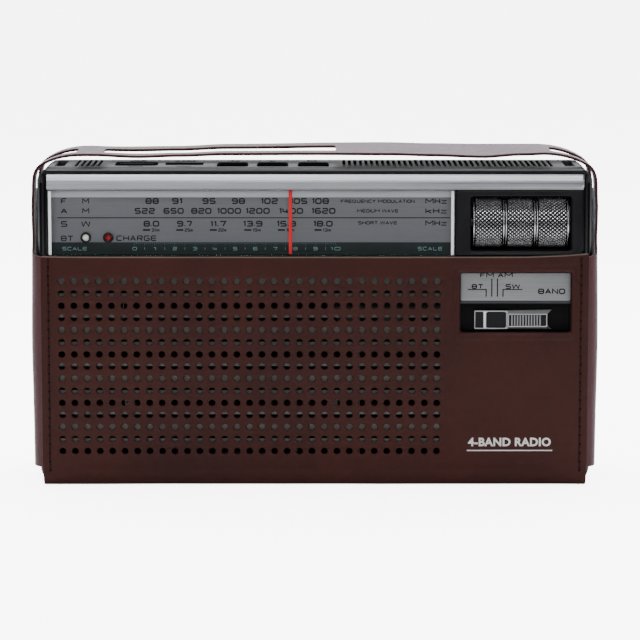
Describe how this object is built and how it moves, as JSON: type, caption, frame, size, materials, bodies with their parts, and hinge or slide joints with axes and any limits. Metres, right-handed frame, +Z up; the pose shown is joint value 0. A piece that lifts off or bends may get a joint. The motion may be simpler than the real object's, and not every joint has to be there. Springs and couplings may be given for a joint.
{
  "type": "shortwave receiver",
  "caption": "Portable shortwave receiver in a stitched, perforated leather carrying case, with a lit dial, knurled thumbwheels, a band slider and a telescopic aerial.",
  "frame": {"origin": "centre of the base, on the surface that the case stands on", "axes": "+X to the right along the case, +Y to the back, +Z up; the dial faces -Y"},
  "size_m": [0.2406, 0.06, 0.143],
  "materials": {
    "wrap_leather": "grained, semi-matt",
    "band_leather": "grained, semi-matt",
    "cabinet_plastic": "fine texture",
    "grille_metal": "satin grey",
    "clear_acrylic": "clear",
    "scale_print": "grey gradient with printed figures",
    "bezel_chrome": "polished",
    "satin_trim": "satin, long grain",
    "satin_plate": "satin",
    "wheel_chrome": "polished knurl",
    "steel": "zinc plated",
    "inner_plastic": "moulded",
    "cord_nylon": "braided",
    "pointer_red": "painted red",
    "cone_paper": "pressed paper",
    "ferrite": "dark, matt",
    "board_laminate": "green resist",
    "copper_wire": "enamelled",
    "port_steel": "nickel plated",
    "deck_metal": "brushed, grey anodised",
    "jack_nickel": "nickel plated",
    "aerial_chrome": "polished",
    "lamp_white": "milky",
    "lamp_red": "red, clear tip",
    "key_plastic": "satin black",
    "cell_jacket": "plain wrapped jacket"
  },
  "bodies": {
    "receiver": {"leather_wrap": "wrap_leather", "gusset_strap": "band_leather", "front_cabinet": "cabinet_plastic", "rear_cabinet": "cabinet_plastic", "battery_tray": "cabinet_plastic", "cabinet_screws": "steel", "speaker_grille": "grille_metal", "dial_lens": "clear_acrylic", "dial_scale": "scale_print", "lamp_bezels": "bezel_chrome", "trim_bar": "satin_trim", "band_plate": "satin_plate", "band_switch": "inner_plastic", "twin_control": "steel", "wheel_bracket": "steel", "tuning_capacitor": "inner_plastic", "dial_cord": "cord_nylon", "speaker_basket": "steel", "speaker_cone": "cone_paper", "speaker_magnet": "ferrite", "speaker_screws": "steel", "main_board": "board_laminate", "board_coils": "steel", "board_capacitors": "inner_plastic", "ferrite_rod": "ferrite", "ferrite_coils": "copper_wire", "ferrite_clips": "inner_plastic", "audio_board": "board_laminate", "key_switches": "inner_plastic", "usb_port": "port_steel", "card_slot": "port_steel", "top_deck": "deck_metal", "power_transformer": "ferrite", "power_inlet": "cabinet_plastic", "headphone_jack": "jack_nickel", "battery_contacts": "jack_nickel", "bluetooth_lamp": "lamp_white", "charge_lamp": "lamp_red", "cell_lower": "cell_jacket", "cell_upper": "cell_jacket"},
    "volume": {"volume_wheel": "wheel_chrome"},
    "tone": {"tone_wheel": "wheel_chrome"},
    "tuning": {"tuning_wheel": "wheel_chrome"},
    "pointer": {"dial_pointer": "pointer_red"},
    "drum": {"cord_drum": "inner_plastic"},
    "pulley_right_high": {"pulley_upper_right": "inner_plastic"},
    "pulley_left_high": {"pulley_upper_left": "inner_plastic"},
    "pulley_right_low": {"pulley_lower_right": "inner_plastic"},
    "band_slider": {"band_knob": "satin_plate"},
    "previous_key": {"key_previous": "key_plastic"},
    "play_key": {"key_play": "key_plastic"},
    "next_key": {"key_next": "key_plastic"},
    "door": {"battery_door": "cabinet_plastic"},
    "aerial_base": {"aerial_swivel": "aerial_chrome"},
    "aerial_1": {"aerial_section_1": "aerial_chrome"},
    "aerial_2": {"aerial_section_2": "aerial_chrome"},
    "aerial_3": {"aerial_section_3": "aerial_chrome"},
    "aerial_4": {"aerial_section_4": "aerial_chrome"},
    "aerial_5": {"aerial_section_5": "aerial_chrome", "aerial_tip": "aerial_chrome"}
  },
  "joints": [
    {"name": "volume_turn", "type": "hinge", "parent": "receiver", "child": "volume", "pos_m": [0.0741, -0.0182, 0.1127], "axis": [1, 0, 0], "range_deg": [0, 300]},
    {"name": "tone_turn", "type": "hinge", "parent": "receiver", "child": "tone", "pos_m": [0.0875, -0.0182, 0.1127], "axis": [1, 0, 0], "range_deg": [0, 300]},
    {"name": "tuning_turn", "type": "hinge", "parent": "receiver", "child": "tuning", "pos_m": [0.1011, -0.0182, 0.1127], "axis": [1, 0, 0], "range_deg": [-995, 258]},
    {"name": "pointer_slide", "type": "slide", "parent": "receiver", "child": "pointer", "axis": [1, 0, 0], "range_m": [-0.063, 0.0165]},
    {"name": "drum_turn", "type": "hinge", "parent": "receiver", "child": "drum", "pos_m": [0.034, -0.0218, 0.082], "axis": [0, 1, 0], "range_deg": [-38, 144]},
    {"name": "pulley_right_high_turn", "type": "hinge", "parent": "receiver", "child": "pulley_right_high", "pos_m": [0.1104, -0.0218, 0.127], "axis": [0, 1, 0], "range_deg": [-1500, 390]},
    {"name": "pulley_left_high_turn", "type": "hinge", "parent": "receiver", "child": "pulley_left_high", "pos_m": [-0.108, -0.0218, 0.127], "axis": [0, 1, 0], "range_deg": [-1500, 390]},
    {"name": "pulley_right_low_turn", "type": "hinge", "parent": "receiver", "child": "pulley_right_low", "pos_m": [0.1096, -0.0218, 0.0954], "axis": [0, 1, 0], "range_deg": [-1500, 390]},
    {"name": "band_select", "type": "slide", "parent": "receiver", "child": "band_slider", "axis": [1, 0, 0], "range_m": [0, 0.0072]},
    {"name": "previous_press", "type": "slide", "parent": "receiver", "child": "previous_key", "axis": [0, 0, -1], "range_m": [0, 0.0008], "stiffness_N_per_m": 400, "springref_m": -0.0005},
    {"name": "play_press", "type": "slide", "parent": "receiver", "child": "play_key", "axis": [0, 0, -1], "range_m": [0, 0.0008], "stiffness_N_per_m": 400, "springref_m": -0.0005},
    {"name": "next_press", "type": "slide", "parent": "receiver", "child": "next_key", "axis": [0, 0, -1], "range_m": [0, 0.0008], "stiffness_N_per_m": 400, "springref_m": -0.0005},
    {"name": "door_open", "type": "hinge", "parent": "receiver", "child": "door", "pos_m": [0.0725, 0.0262, 0.0085], "axis": [-1, 0, 0], "range_deg": [0, 95]},
    {"name": "aerial_turn", "type": "hinge", "parent": "receiver", "child": "aerial_base", "pos_m": [0.106, 0.0248, 0.1255], "axis": [0, 0, 1], "range_deg": [-180, 0]},
    {"name": "aerial_tilt", "type": "hinge", "parent": "aerial_base", "child": "aerial_1", "pos_m": [0.106, 0.0248, 0.1323], "axis": [0, 1, 0], "range_deg": [0, 90]},
    {"name": "aerial_draw_2", "type": "slide", "parent": "aerial_1", "child": "aerial_2", "axis": [-1, 0, 0], "range_m": [0, 0.15]},
    {"name": "aerial_draw_3", "type": "slide", "parent": "aerial_2", "child": "aerial_3", "axis": [-1, 0, 0], "range_m": [0, 0.15]},
    {"name": "aerial_draw_4", "type": "slide", "parent": "aerial_3", "child": "aerial_4", "axis": [-1, 0, 0], "range_m": [0, 0.15]},
    {"name": "aerial_draw_5", "type": "slide", "parent": "aerial_4", "child": "aerial_5", "axis": [-1, 0, 0], "range_m": [0, 0.15]}
  ],
  "couplings": [
    {"joint": "pointer_slide", "follows": "tuning_turn", "m_per_rad": 0.0036},
    {"joint": "drum_turn", "follows": "tuning_turn", "ratio": -0.144},
    {"joint": "pulley_right_high_turn", "follows": "tuning_turn", "ratio": 1.5},
    {"joint": "pulley_left_high_turn", "follows": "tuning_turn", "ratio": 1.5},
    {"joint": "pulley_right_low_turn", "follows": "tuning_turn", "ratio": 1.5}
  ]
}
